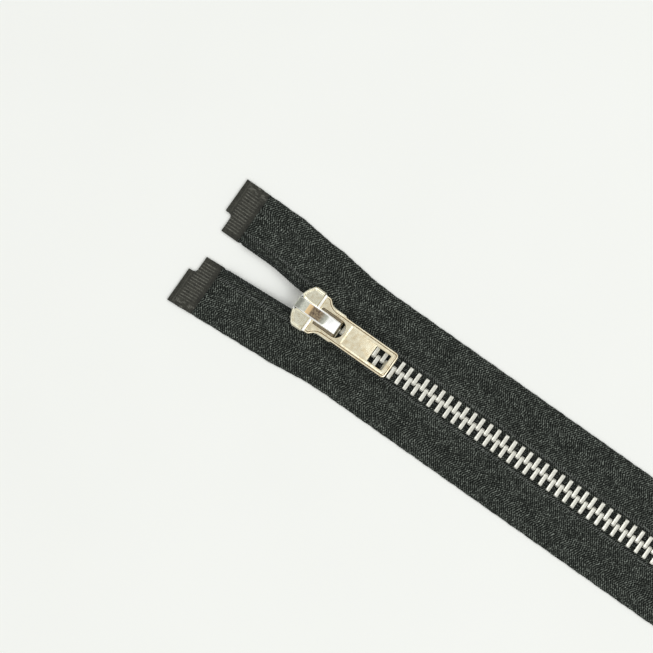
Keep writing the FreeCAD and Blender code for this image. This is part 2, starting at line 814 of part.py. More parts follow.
for side_label, side_sign in SIDES:
    make_foot(side_label, side_sign)
    make_tape(side_label, side_sign)
    make_bead(side_label, side_sign)
make_box()
make_pin("box_pin", 1, tapered_bottom=False)
make_pin("insertion_pin", -1, tapered_bottom=True)
make_teeth(make_tooth())
make_top_stops(make_clamp("stop", "stop_inner", "stop_length"))
make_slider_body()
make_crown()
make_pawl()
make_pull()
doc.recompute()

for item in doc.Objects:
    if {"Invalid", "Error"} & set(item.State):
        raise RuntimeError(f"{item.Label} failed: {item.State}")
for part in SUBPARTS:
    if part.Shape.isNull() or not part.Shape.isValid() or not part.Shape.Solids:
        raise RuntimeError(f"{part.Label} has no valid shape")

os.makedirs("parts", exist_ok=True)
for part in SUBPARTS:
    part.Shape.exportStep(os.path.join("parts", part.Label + ".step"))
    box = part.Shape.BoundBox
    print(
        f"{part.Label}: {len(part.Shape.Solids)} solids, {part.Shape.Volume:.2f} mm3, "
        f"x {box.XMin:.2f}..{box.XMax:.2f}, y {box.YMin:.2f}..{box.YMax:.2f}, "
        f"z {box.ZMin:.2f}..{box.ZMax:.2f}"
    )
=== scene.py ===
import json
import math
import random

import bmesh
import bpy
import numpy as np
from mathutils import Matrix, Vector, geometry


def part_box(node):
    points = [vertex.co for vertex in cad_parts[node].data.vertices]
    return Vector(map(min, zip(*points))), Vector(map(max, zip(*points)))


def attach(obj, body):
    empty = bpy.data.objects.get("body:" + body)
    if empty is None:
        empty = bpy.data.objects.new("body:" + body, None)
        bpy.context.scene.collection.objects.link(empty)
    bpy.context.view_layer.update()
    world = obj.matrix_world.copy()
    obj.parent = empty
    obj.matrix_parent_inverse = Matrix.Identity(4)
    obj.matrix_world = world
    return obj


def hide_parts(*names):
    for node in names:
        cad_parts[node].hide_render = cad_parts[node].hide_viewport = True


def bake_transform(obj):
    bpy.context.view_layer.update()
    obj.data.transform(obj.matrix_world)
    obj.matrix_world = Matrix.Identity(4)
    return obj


# A closed separating zipper on a pale table, seen from straight above. Everything is modelled in
# millimetres in the CAD's frame and scaled to metres when a mesh is made: +X runs up the chain,
# +Y is the left (box) side, +Z is out of the face.

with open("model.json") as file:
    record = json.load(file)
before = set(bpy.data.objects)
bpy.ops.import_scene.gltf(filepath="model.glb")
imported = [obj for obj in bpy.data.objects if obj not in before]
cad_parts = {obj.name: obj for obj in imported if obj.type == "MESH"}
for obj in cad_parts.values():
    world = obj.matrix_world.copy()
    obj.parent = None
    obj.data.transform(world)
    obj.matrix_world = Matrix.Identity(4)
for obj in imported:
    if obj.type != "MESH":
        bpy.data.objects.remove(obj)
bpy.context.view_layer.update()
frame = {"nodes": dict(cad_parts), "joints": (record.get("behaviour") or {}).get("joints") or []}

MM = 0.001
SIDES = (("left", 1), ("right", -1))
STRINGER = {"left": "left_stringer", "right": "right_stringer"}
JOINTS = {joint["name"]: joint for joint in frame["joints"]}


def box_mm(node):
    low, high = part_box(node)
    return np.array(low) / MM, np.array(high) / MM


def joint_mm(name):
    return np.array(JOINTS[name]["pos_m"]) / MM


# ---- measures, taken from the CAD where it has them ----

# the whole, and the path of the chain
FRONT = box_mm("slider_body")[1][0]
BOTTOM = box_mm("retainer_box")[0][0]
FOOT_END = joint_mm("left_open")[0]
CHAIN_Z = joint_mm("left_open")[2]
TAPE_EDGE = box_mm("left_tape_foot")[1][1]
FLAT_Z = 0.25
RUN = 12.0
SPREAD = 1.67
SWEEP = 2 * math.atan(SPREAD / RUN)
BEND = RUN / (2 * math.sin(SWEEP))
BEND_START = FRONT - RUN
LEFT_LEAN = 0.067
RIGHT_SHIFT = 1.0
SETTLE_RUN = 15.0
FLATTEN_RUN = 2.0
# teeth, cord and tape
PITCH = 2.54
TOOTH = 1.02
NOSE_REACH = -0.77
STOP_REACH = 0.55
CLAMP_BACK = 2.98
CLAMP_HALF = 1.15
CLAMP_SLOT = 0.27
CLAMP_GRIP = 0.8
BEAD_Y = 1.6
BEAD_R = 0.75
FOOT_BEAD_Y = 1.75
FOOT_BEAD_R = 0.52
TAPE_HALF = 0.25
CORE_HALF = 0.17
NOTCH_WIDTH = 5.0
NOTCH_DEPTH = 2.1
NOTCH_CUT = 0.0008
STITCH_REACH = 3.45
# slider and crown; heights are above the table
SLIDER_TOP = box_mm("slider_body")[1][2]
SLIDER_LENGTH = FRONT - box_mm("slider_body")[0][0]
SHOULDER = box_mm("slider_body")[1][1]
SETBACK = 0.22
WAIST = 4.16
NOSE = 2.3
CHANNEL = 3.18
LOWER_PLATE = 0.95
UPPER_PLATE = 3.45
SLOT_LOW = 1.8
SLOT_HIGH = 2.6
OVERLAP = 0.05
CROWN_FOOT = SLIDER_TOP - 0.09
CROWN_LENGTH = 13.0
CROWN_BORE_HALF = 1.35
CROWN_BORE_TOP = 6.0
# pull; lengths are measured back from its axis
PULL_AXIS = joint_mm("pull_swing")
BAR_BACK = FRONT - PULL_AXIS[0]
BAR_RADIUS = 0.62
GATE_HALF = 0.74
HEAD_HALF = box_mm("pull_tab")[1][1]
PULL_HALF = 3.7
PULL_LENGTH = 24.3
PULL_THICK = 0.6
PANEL_DEPTH = 0.21
PANEL_FRONT = 9.8
PANEL_BACK = 23.4
PANEL_HALF = 3.0

# ---- the path of a row of teeth and of a tape ----


def ease(share):
    share = np.clip(share, 0.0, 1.0)
    return share * share * (3 - 2 * share)


def drift(x):
    """How far the path has moved aside at a place along the chain inside the slider."""
    travelled = np.clip(x - BEND_START, 0.0, RUN)
    first = BEND - np.sqrt(BEND**2 - np.minimum(travelled, RUN / 2) ** 2)
    left_to_go = np.minimum(RUN - travelled, RUN / 2)
    second = SPREAD - BEND + np.sqrt(BEND**2 - left_to_go**2)
    return np.where(travelled < RUN / 2, first, second)


def tape_drift(side, x):
    ahead = np.maximum(x - FRONT, 0.0)
    free = LEFT_LEAN * ahead if side > 0 else RIGHT_SHIFT * ease(ahead / RUN)
    return drift(x) + free


def outer_drift(side, x):
    inside = SPREAD * ease((x - BEND_START + RUN) / (2 * RUN)) ** 2
    return np.where(x < FRONT, inside, tape_drift(side, x))


def settling(x, resting):
    """Height that a tape comes down to, from the slider's mouth to where it rests."""
    return CHAIN_Z + (resting - CHAIN_Z) * ease((x - FRONT) / SETTLE_RUN)


def film_start(label):
    return box_mm(f"{label}_top_face_film")[0][0]


def tape_end(label):
    return box_mm(f"{label}_tape")[1][0]


def flattened(label, x, run=FLATTEN_RUN):
    """0 along the free tape, rising to 1 where the film presses it flat."""
    return ease((x - film_start(label) + FLATTEN_RUN) / run)


def tape_inner(label, x):
    """Inner edge of the visible cloth, measured from the path of the teeth."""
    at_foot = ease((FOOT_END + 0.5 - x) / 1.0)
    inner = BEAD_Y + 0.15 + at_foot * 0.3
    return inner + flattened(label, x) * (BEAD_Y - BEAD_R - inner)


def tape_height(label, x, across):
    """Height of the cloth's middle, across measured from the path of the teeth."""
    settled = settling(x, FLAT_Z)
    flat = flattened(label, x)
    edge = settling(x, BEAD_R) * (1 - flat) + settled * flat
    body = FLAT_Z + (settled - FLAT_Z) * (1 - ease((across - 6.0) / 5.0))
    over_cord = 0.42 * ease((x - FRONT - 1.0) / 4.0) * (1 - flat)
    over_cord = over_cord * (1 - ease((across - 2.1) / 2.2))
    return body + (edge - settled) * (1 - ease((across - 2.4) / 4.0)) + over_cord


# ---- meshes ----


class Shell:
    """Points and faces of a piece made from rings, in millimetres."""

    def __init__(self):
        self.points = []
        self.faces = []

    def ring(self, points):
        start = len(self.points)
        self.points.extend(tuple(float(c) for c in p) for p in points)
        return list(range(start, len(self.points)))

    def bridge(self, first, second):
        for n in range(len(first)):
            m = (n + 1) % len(first)
            self.faces.append((first[n], first[m], second[m], second[n]))

    def loft(self, rings):
        made = [self.ring(points) for points in rings]
        for first, second in zip(made, made[1:]):
            self.bridge(first, second)
        return made

    def tube(self, rings):
        """A loft closed at both ends."""
        made = self.loft(rings)
        self.fill(made[0])
        self.fill(made[-1])

    def fill(self, *loops):
        """Close the flat region inside the first loop and outside the others."""
        lines = [[Vector(self.points[i]) for i in loop] for loop in loops]
        order = [i for loop in loops for i in loop]
        for triangle in geometry.tessellate_polygon(lines):
            self.faces.append(tuple(order[i] for i in triangle))

    def copy_in(self, other, move):
        start = len(self.points)
        self.points.extend(tuple(move @ Vector(p)) for p in other.points)
        self.faces.extend(tuple(i + start for i in face) for face in other.faces)


def new_object(name, mesh, material, sharp):
    mesh.shade_smooth()
    mesh.set_sharp_from_angle(angle=math.radians(sharp))
    mesh.materials.append(material)
    made = bpy.data.objects.new(name, mesh)
    bpy.context.scene.collection.objects.link(made)
    return made


def shell_object(name, shell, material, sharp=35.0):
    mesh = bpy.data.meshes.new(name)
    mesh.from_pydata([tuple(c * MM for c in p) for p in shell.points], [], shell.faces)
    work = bmesh.new()
    work.from_mesh(mesh)
    bmesh.ops.remove_doubles(work, verts=work.verts, dist=1e-7)
    bmesh.ops.recalc_face_normals(work, faces=work.faces)
    work.to_mesh(mesh)
    work.free()
    return new_object(name, mesh, material, sharp)


def sheet_object(name, side, top, bottom, along, across, material):
    """A closed sheet from two grids of points; along and across give its place in the weave."""
    rows, columns = top.shape[:2]
    number = np.arange(rows * columns).reshape(rows, columns)
    under = number + rows * columns

    def quads(a, b, c, d):
        made = np.stack([a.ravel(), b.ravel(), c.ravel(), d.ravel()], axis=1)
        return made if side < 0 else made[:, ::-1]

    faces = [
        quads(number[:-1, :-1], number[:-1, 1:], number[1:, 1:], number[1:, :-1]),
        quads(under[:-1, :-1], under[1:, :-1], under[1:, 1:], under[:-1, 1:]),
        quads(number[0, :-1], under[0, :-1], under[0, 1:], number[0, 1:]),
        quads(number[-1, :-1], number[-1, 1:], under[-1, 1:], under[-1, :-1]),
        quads(number[:-1, 0], number[1:, 0], under[1:, 0], under[:-1, 0]),
        quads(number[:-1, -1], under[:-1, -1], under[1:, -1], number[1:, -1]),
    ]
    faces = np.concatenate(faces)
    points = np.concatenate([top.reshape(-1, 3), bottom.reshape(-1, 3)])
    mesh = bpy.data.meshes.new(name)
    mesh.from_pydata((points * MM).tolist(), [], faces.tolist())
    place = np.stack([along, across], axis=2).reshape(-1, 2)
    place = np.concatenate([place, place])[faces.ravel()]
    mesh.uv_layers.new(name="weave").data.foreach_set("uv", place.ravel())
    return new_object(name, mesh, material, 60.0)


def rounded(corners, radii, steps):
    """Outline with each corner replaced by an arc, anticlockwise."""
    points = []
    count = len(corners)
    for n in range(count):
        corner = np.array(corners[n], float)
        before = np.array(corners[n - 1], float) - corner
        after = np.array(corners[(n + 1) % count], float) - corner
        before_length = np.linalg.norm(before)
        after_length = np.linalg.norm(after)
        before /= before_length
        after /= after_length
        half = math.acos(np.clip(before @ after, -1, 1)) / 2
        reach = min(radii[n] / math.tan(half), 0.49 * before_length, 0.49 * after_length)
        radius = reach * math.tan(half)
        inward = (before + after) / np.linalg.norm(before + after)
        middle = corner + inward * radius / math.sin(half)
        start = corner + before * reach - middle
        end = corner + after * reach - middle
        turn = math.atan2(start[0] * end[1] - start[1] * end[0], start @ end)
        for step in range(steps + 1):
            angle = turn * step / steps
            cos, sin = math.cos(angle), math.sin(angle)
            arm = (start[0] * cos - start[1] * sin, start[0] * sin + start[1] * cos)
            points.append(middle + arm)
    return np.array(points)


class Outline:
    """A polygon with rounded corners, anticlockwise, that can be drawn at any inset."""

    def __init__(self, corners, radii, steps=6):
        self.corners = np.array(corners, float)
        self.radii = list(radii)
        self.steps = steps

    def inset(self, amount):
        ahead = np.roll(self.corners, -1, axis=0) - self.corners
        ahead /= np.linalg.norm(ahead, axis=1)[:, None]
        behind = np.roll(ahead, 1, axis=0)
        turn = behind[:, 0] * ahead[:, 1] - behind[:, 1] * ahead[:, 0]
        normals = np.stack([-(ahead + behind)[:, 1], (ahead + behind)[:, 0]], axis=1)
        shift = normals / (1 + np.sum(ahead * behind, axis=1))[:, None] * amount
        change = np.where(turn > 0, -amount, amount)
        radii = [max(r + c, 0.03) for r, c in zip(self.radii, change)]
        return rounded(self.corners + shift, radii, self.steps)

    def moved(self, x):
        return Outline(self.corners + (x, 0.0), self.radii, self.steps)

    def flipped(self):
        return Outline((self.corners * (1, -1))[::-1], self.radii[::-1], self.steps)


def rectangle(low_x, high_x, low_y, high_y, radius, steps=5):
    corners = [(low_x, low_y), (high_x, low_y), (high_x, high_y), (low_x, high_y)]
    return Outline(corners, [radius] * 4, steps)


def inset(outline, amount):
    """Closed line of points moved inwards, or outwards where amount is below zero."""
    ahead = np.roll(outline, -1, axis=0) - outline
    behind = outline - np.roll(outline, 1, axis=0)
    ahead /= np.linalg.norm(ahead, axis=1)[:, None]
    behind /= np.linalg.norm(behind, axis=1)[:, None]
    normal = np.stack([-(ahead + behind)[:, 1], (ahead + behind)[:, 0]], axis=1)
    normal /= np.linalg.norm(normal, axis=1)[:, None]
    lean = np.abs(ahead[:, 0] * normal[:, 1] - ahead[:, 1] * normal[:, 0])
    return outline + normal * (amount / np.maximum(lean, 0.5))[:, None]


def level(outline, height):
    return np.column_stack([outline, np.full(len(outline), height)])


def rings_at(outline, profile):
    """Copies of the outline, one for each (inset, height)."""
    return [level(outline.inset(amount), height) for amount, height in profile]


def slab(shell, outline, low, high, rim):
    """A flat plate with rounded rims."""
    half_rim = rim * (1 - math.sqrt(0.5))
    profile = [
        (rim, low),
        (half_rim, low + half_rim),
        (0, low + rim),
        (0, high - rim),
        (half_rim, high - half_rim),
        (rim, high),
    ]
    shell.tube(rings_at(outline, profile))


def smooth_line(places, stops):
    """Values of a smooth curve through (place, value) stops."""
    known = np.array([stop[0] for stop in stops], float)
    values = np.array([stop[1] for stop in stops], float)
    slopes = np.gradient(values, known)
    n = np.clip(np.searchsorted(known, places, side="right") - 1, 0, len(known) - 2)
    width = known[n + 1] - known[n]
    t = np.clip((places - known[n]) / width, 0, 1)
    start = (2 * t**3 - 3 * t**2 + 1) * values[n] + (t**3 - 2 * t**2 + t) * width * slopes[n]
    end = (3 * t**2 - 2 * t**3) * values[n + 1] + (t**3 - t**2) * width * slopes[n + 1]
    return start + end


# ---- materials ----


class Num:
    """A number in a node tree that can be added, multiplied and so on."""

    def __init__(self, tree, socket):
        self.tree = tree
        self.socket = socket

    def math(self, operation, *others):
        node = self.tree.nodes.new("ShaderNodeMath")
        node.operation = operation
        for place, value in zip(node.inputs, (self, *others)):
            if isinstance(value, Num):
                self.tree.links.new(value.socket, place)
            else:
                place.default_value = value
        return Num(self.tree, node.outputs[0])

    def __add__(self, other):
        return self.math("ADD", other)

    def __sub__(self, other):
        return self.math("SUBTRACT", other)

    def __mul__(self, other):
        return self.math("MULTIPLY", other)

    def __truediv__(self, other):
        return self.math("DIVIDE", other)

    def part(self):
        return self.math("FRACT")

    def whole(self):
        return self.math("FLOOR")

    def size(self):
        return self.math("ABSOLUTE")

    def step_up(self, low, high):
        """0 below low, 1 above high, smooth between."""
        node = self.tree.nodes.new("ShaderNodeMapRange")
        node.interpolation_type = "SMOOTHSTEP"
        self.tree.links.new(self.socket, node.inputs[0])
        node.inputs[1].default_value = low
        node.inputs[2].default_value = high
        return Num(self.tree, node.outputs[0])


class Paint:
    """Helper for one Principled material."""

    def __init__(self, name, **settings):
        self.material = bpy.data.materials.new(name)
        self.material.use_nodes = True
        self.tree = self.material.node_tree
        self.shader = self.tree.nodes["Principled BSDF"]
        for key, value in settings.items():
            self.shader.inputs[key.replace("_", " ")].default_value = value

    def link(self, source, target):
        self.tree.links.new(source.socket if isinstance(source, Num) else source, target)

    def weave_place(self):
        node = self.tree.nodes.new("ShaderNodeUVMap")
        node.uv_map = "weave"
        split = self.tree.nodes.new("ShaderNodeSeparateXYZ")
        self.link(node.outputs[0], split.inputs[0])
        return Num(self.tree, split.outputs[0]), Num(self.tree, split.outputs[1])

    def place(self):
        """Object coordinates in millimetres, as three numbers."""
        node = self.tree.nodes.new("ShaderNodeTexCoord")
        split = self.tree.nodes.new("ShaderNodeSeparateXYZ")
        self.link(node.outputs["Object"], split.inputs[0])
        return [Num(self.tree, out) * (1 / MM) for out in split.outputs]

    def vector(self, *numbers):
        node = self.tree.nodes.new("ShaderNodeCombineXYZ")
        for number, target in zip(numbers, node.inputs):
            self.link(number, target)
        return node.outputs[0]

    def noise(self, vector, scale, detail=2.0):
        node = self.tree.nodes.new("ShaderNodeTexNoise")
        self.link(vector, node.inputs["Vector"])
        node.inputs["Scale"].default_value = scale
        node.inputs["Detail"].default_value = detail
        return Num(self.tree, node.outputs[0])

    def dice(self, vector):
        node = self.tree.nodes.new("ShaderNodeTexWhiteNoise")
        node.noise_dimensions = "2D"
        self.link(vector, node.inputs["Vector"])
        return Num(self.tree, node.outputs[0])

    def mix(self, share, first, second):
        node = self.tree.nodes.new("ShaderNodeMix")
        node.data_type = "RGBA"
        self.link(share, node.inputs[0])
        for value, target in ((first, node.inputs[6]), (second, node.inputs[7])):
            if isinstance(value, tuple):
                target.default_value = (*value, 1.0)
            else:
                self.link(value, target)
        return node.outputs[2]

    def bump(self, height, depth_mm, strength=1.0):
        node = self.tree.nodes.new("ShaderNodeBump")
        node.inputs["Strength"].default_value = strength
        node.inputs["Distance"].default_value = depth_mm * MM
        self.link(height, node.inputs["Height"])
        self.link(node.outputs[0], self.shader.inputs["Normal"])

    def colour(self, source):
        self.link(source, self.shader.inputs["Base Color"])

    def roughness(self, source):
        self.link(source, self.shader.inputs["Roughness"])


WARP = 0.3
REPEAT = 0.66
BAND = 12
RIB_PITCH = 0.84
RIB_OUT = 14.0


def tape_paint():
    """Herringbone twill: short floats on dark ground, shifted a third from thread to thread.

    Threads wander and lie a little out of step, as worn cloth does.
    """
    paint = Paint("tape_weave", Roughness=0.7)
    paint.shader.inputs["Specular IOR Level"].default_value = 0.05
    along, across = paint.weave_place()
    wander = paint.noise(paint.vector(along, across), 0.45)
    waver = paint.noise(paint.vector(along, across), 1.6)
    along = along + wander * 0.7 + waver * 0.35
    thread = (across / WARP).whole()
    jitter = paint.dice(paint.vector(thread, thread * 0.37)) * 0.34
    off = ((across / WARP).part() - 0.5) * 2.0
    turn = (thread / (2.0 * BAND)).part() * (2.0 * BAND)
    slant = (turn - float(BAND)).size() / 3.0
    repeat = along / REPEAT + slant + jitter
    spot = (repeat.part() - 0.35).size() / 0.3
    rounding = (off * off * -0.8 + 1.0) * ((spot * spot) * -1.0 + 1.0)
    height = rounding.math("MAXIMUM", 0.0)
    luck = paint.dice(paint.vector(thread, repeat.whole()))
    clump = paint.noise(paint.vector(along, across), 1.3, 2.0)
    cloud = paint.noise(paint.vector(along, across), 0.22, 2.0)
    shine = height * (luck * luck * 0.75 + 0.22) * (clump.step_up(0.25, 0.75) * 0.7 + 0.5)
    shine = shine * (cloud * 1.2 + 0.5)
    edge = (across - (TAPE_EDGE - 3.25)).size()
    groove = edge.step_up(0.1, 0.4) * 0.3 + 0.7
    tone = paint.mix(shine * groove, (0.0042, 0.0052, 0.0045), (0.30, 0.335, 0.295))
    paint.colour(tone)
    hair = paint.noise(paint.vector(along * 3.0, across * 14.0), 1.0, 2.0)
    paint.bump(height + hair * 0.25, 0.07)
    return paint.material


def cord_paint():
    """The braid over the cord: short pale strands slanting both ways on dark thread."""
    paint = Paint("cord_thread", Roughness=0.7)
    paint.shader.inputs["Specular IOR Level"].default_value = 0.08
    x, y, z = paint.place()
    plait = x / 0.5 + y.size() * 0.9
    across = (y.size() + z * 0.7) / 0.3
    strand = (plait.part() - 0.5).size() * -2.0 + 1.0
    strand = strand * ((across.part() - 0.5).size() * -1.2 + 1.0)
    luck = paint.dice(paint.vector(plait.whole(), across.whole()))
    shine = strand.step_up(0.25, 0.8) * (luck * luck * 0.9 + 0.1)
    paint.colour(paint.mix(shine, (0.0085, 0.0098, 0.009), (0.19, 0.215, 0.195)))
    paint.bump(strand, 0.05)
    return paint.material


def thread_paint(name, dark, light, pitch):
    paint = Paint(name, Roughness=0.7)
    paint.shader.inputs["Sheen Weight"].default_value = 0.2
    x, y, z = paint.place()
    fibre = paint.noise(paint.vector(x * 2.0, y * 5.0, z * 5.0), pitch, 3.0)
    paint.colour(paint.mix(fibre.step_up(0.35, 0.75), dark, light))
    paint.bump(fibre, 0.05)
    return paint.material


def film_paint():
    """Film pressed into the weave: brownish grey, with pale ribs and a line along the cut end."""
    paint = Paint("pressed_film", Roughness=0.55)
    paint.shader.inputs["Specular IOR Level"].default_value = 0.2
    from_cut, out = paint.weave_place()
    place = paint.vector(from_cut, out)
    cloud = paint.noise(place, 0.8, 4.0)
    grain = paint.noise(place, 3.0, 3.0).step_up(0.35, 0.7)
    weave = ((from_cut / REPEAT + out / 0.5).part() - 0.5).size() * 2.0
    zone = out.step_up(2.2, 2.7) * (out.step_up(RIB_OUT - 0.5, RIB_OUT) * -1.0 + 1.0)
    zone = zone * from_cut.step_up(1.6, 2.0) * (from_cut.step_up(5.4, 6.8) * -1.0 + 1.0)
    crest = (out * (2 * math.pi / RIB_PITCH)).math("COSINE")
    rung = paint.dice(paint.vector((from_cut / 0.42).whole(), (out / RIB_PITCH).whole()))
    ribs = crest.step_up(-0.1, 0.9) * zone * (rung * 0.8 + 0.2) * (grain * 0.7 + 0.3)
    dash = paint.dice(paint.vector((out / 0.5).whole(), (from_cut / 0.9).whole()))
    near_edge = (out.step_up(1.6, 2.4) * -1.0 + 1.0) * from_cut.step_up(1.0, 1.6)
    dashes = dash.step_up(0.55, 0.7) * near_edge * weave
    line = (from_cut - 1.2).size().step_up(0.06, 0.22) * -1.0 + 1.0
    fades = from_cut.step_up(5.8, 7.2) * -0.4 + 1.0
    base_share = (cloud.step_up(0.3, 0.75) * 0.4 + weave * 0.3 + grain * 0.5) * fades
    base = paint.mix(base_share, (0.0065, 0.007, 0.0055), (0.058, 0.058, 0.046))
    pale = paint.mix(ribs * 0.85 + dashes * 0.6 + line * 0.1, base, (0.21, 0.21, 0.18))
    paint.colour(pale)
    paint.bump(weave * 0.4 + cloud, 0.05, 0.7)
    return paint.material


def metal_paint(name, light, dark, roughness, cloud_scale=1.3, depth=0.003):
    """Plated or tumbled metal, slightly mottled in colour and gloss."""
    paint = Paint(name, Metallic=1.0)
    x, y, z = paint.place()
    place = paint.vector(x, y, z)
    cloud = paint.noise(place, cloud_scale, 3.0)
    speck = paint.noise(place, cloud_scale * 4.0, 3.0)
    share = (cloud * 0.6 + speck * 0.4).step_up(0.38, 0.66)
    paint.colour(paint.mix(share, light, dark))
    paint.roughness(speck * 0.12 + (roughness - 0.06))
    paint.bump(speck, depth)
    return paint.material


def slider_paint():
    """The same plating, painted dark brown as shade on the top plate beside the bridge where the
    pull lies over it, and painted darker inside the channel between the plates.
    """
    paint = Paint("nickel_plate", Metallic=1.0)
    x, y, z = paint.place()
    place = paint.vector(x, y, z)
    cloud = paint.noise(place, 0.9, 3.0)
    speck = paint.noise(place, 3.6, 3.0)
    share = (cloud * 0.6 + speck * 0.4).step_up(0.4, 0.68)
    tone = paint.mix(share, (0.88, 0.86, 0.70), (0.68, 0.61, 0.44))
    back = x * -1.0 + float(FRONT)
    aside = y.size()
    # painted shade: dark where the pull lies over the top plate beside the bridge
    shade_under_pull = back.step_up(5.9, 6.6) * (aside.step_up(2.5, 3.0) * -1.0 + 1.0)
    inside = aside.step_up(4.0, 4.6) * -1.0 + 1.0
    # darker paint inside the channel between the plates
    deep = z.step_up(0.7, 0.9) * (z.step_up(3.3, 3.6) * -1.0 + 1.0)
    on_top = z.step_up(3.9, 4.3)
    # painted shade beside the bridge and the channel's darker paint, mixed in as dark brown
    brown_shade_and_reflection = (shade_under_pull * on_top * 0.8).math("MAXIMUM", deep * inside * 0.8)
    paint.colour(paint.mix(brown_shade_and_reflection, tone, (0.17, 0.12, 0.07)))
    paint.roughness(speck * 0.12 + 0.18)
    paint.bump(speck, 0.003)
    return paint.material


def pull_paint():
    """The slider's plating, stippled in the sunk panel and painted near white on the cross bar as
    a highlight.
    """
    paint = Paint("pull_plate", Metallic=1.0)
    x, y, z = paint.place()
    place = paint.vector(x, y, z)
    back = x * -1.0 + float(PULL_AXIS[0])
    cloud = paint.noise(place, 0.7, 3.0)
    speck = paint.noise(place, 5.0, 3.0)
    share = (cloud * 0.55 + speck * 0.45).step_up(0.38, 0.66)
    tone = paint.mix(share, (0.90, 0.85, 0.66), (0.70, 0.59, 0.39))
    # painted highlight: the round cross bar near white
    bar = back.size().step_up(0.2, 0.42) * -1.0 + 1.0
    paint.roughness(speck * 0.15 + 0.2)
    in_panel = back.step_up(PANEL_FRONT - 0.1, PANEL_FRONT)
    in_panel = in_panel * (back.step_up(PANEL_BACK, PANEL_BACK + 0.1) * -1.0 + 1.0)
    in_panel = in_panel * (y.size().step_up(PANEL_HALF, PANEL_HALF + 0.06) * -1.0 + 1.0)
    height = z - float(PULL_AXIS[2])
    groove = height.step_up(0.28, 0.32) * (height.step_up(0.44, 0.5) * -1.0 + 1.0)
    groove = groove * (in_panel * -1.0 + 1.0) * (back.step_up(0.5, 0.8))
    tone = paint.mix(groove * 0.85, tone, (0.26, 0.17, 0.08))
    paint.colour(paint.mix(bar, tone, (0.98, 0.97, 0.92)))
    paint.bump(speck * in_panel, 0.012)
    return paint.material


def crown_paint():
    """Polished plate with painted reflections: pale brow, a golden band and a brown ridge painted
    in as reflections, the tail and both long edges painted near white as highlights.
    """
    paint = Paint("crown_plate", Metallic=1.0)
    x, y, z = paint.place()
    back = x * -1.0 + float(FRONT)
    speck = paint.noise(paint.vector(x, y, z), 1.8, 4.0)
    # painted reflection: a brown band along the ridge
    brown_shade_and_reflection = back.step_up(3.9, 4.6) * (back.step_up(7.0, 8.6) * -1.0 + 1.0)
    # painted reflection: a golden band behind the brow
    gold_reflection = back.step_up(3.0, 3.4) * (back.step_up(4.1, 4.7) * -1.0 + 1.0)
    # painted highlight: the tail near white
    tail = back.step_up(8.8, 9.6)
    brow = paint.mix(speck.step_up(0.4, 0.65), (0.60, 0.61, 0.53), (0.48, 0.50, 0.43))
    base = paint.mix(tail, brow, (0.95, 0.96, 0.95))
    brown = paint.mix(speck.step_up(0.4, 0.62), (0.40, 0.30, 0.18), (0.14, 0.085, 0.055))
    # painted highlight: both long edges near white, the middle keeps the tone
    inner = y.size().step_up(1.25, 1.45) * -1.0 + 1.0
    tone = paint.mix(brown_shade_and_reflection * 0.9, base, brown)
    tone = paint.mix(gold_reflection * 0.85, tone, (1.0, 0.70, 0.36))
    paint.colour(paint.mix(inner, (0.97, 0.97, 0.94), tone))
    paint.roughness(speck * 0.14 + 0.12)
    paint.bump(speck, 0.003)
    return paint.material


def floor_paint():
    paint = Paint("table_top", Roughness=0.75)
    x, y, z = paint.place()
    cloud = paint.noise(paint.vector(x, y, z), 0.02, 2.0)
    paint.colour(paint.mix(cloud, (0.90, 0.915, 0.89), (0.87, 0.885, 0.86)))
    return paint.material


MATERIALS = {
    "tape": tape_paint(),
    "bead_thread": cord_paint(),
    "stitch": thread_paint("stitch_thread", (0.06, 0.066, 0.062), (0.20, 0.215, 0.20), 2.0),
    "film": film_paint(),
    "teeth": metal_paint("tooth_metal", (0.84, 0.84, 0.77), (0.66, 0.65, 0.58), 0.38, 1.6, 0.005),
    "foot_metal": metal_paint("foot_alloy", (0.86, 0.86, 0.84), (0.70, 0.70, 0.67), 0.34),
    "slider_metal": slider_paint(),
    "pull": pull_paint(),
    "crown": crown_paint(),
    "spring_steel": metal_paint("steel", (0.62, 0.62, 0.62), (0.45, 0.45, 0.46), 0.3),
}

# ---- cloth: tapes, films, cords, stitches ----


def foot_and_tape(piece):
    """Bake a soft piece's transform into its mesh."""
    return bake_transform(piece)


def twill_relief(x, out):
    """Low diagonal ridges of the herringbone, whose direction turns from band to band."""
    turn = np.abs((out / (2 * BAND * WARP)) % 1.0 - 0.5) * 2 * BAND / 3.0
    return np.cos(2 * math.pi * (x / REPEAT + turn))


def tape_grid(label, side, x, share):
    """Middle surface: rows of x, columns from the inner edge (share 0) to the selvedge (1)."""
    x, share = np.broadcast_arrays(x, share)
    inner = tape_inner(label, x) + tape_drift(side, x)
    loops = 0.07 * np.abs(np.sin(math.pi * x / REPEAT)) + 0.04 * np.sin(x * 0.9)
    loops = loops + 0.03 * np.sin(x * 2.3)
    outer = TAPE_EDGE + outer_drift(side, x) + loops * (share > 0.98) - 0.04
    y = inner + (outer - inner) * share
    across = y - tape_drift(side, x) * (1 - share) - outer_drift(side, x) * share
    return y, across


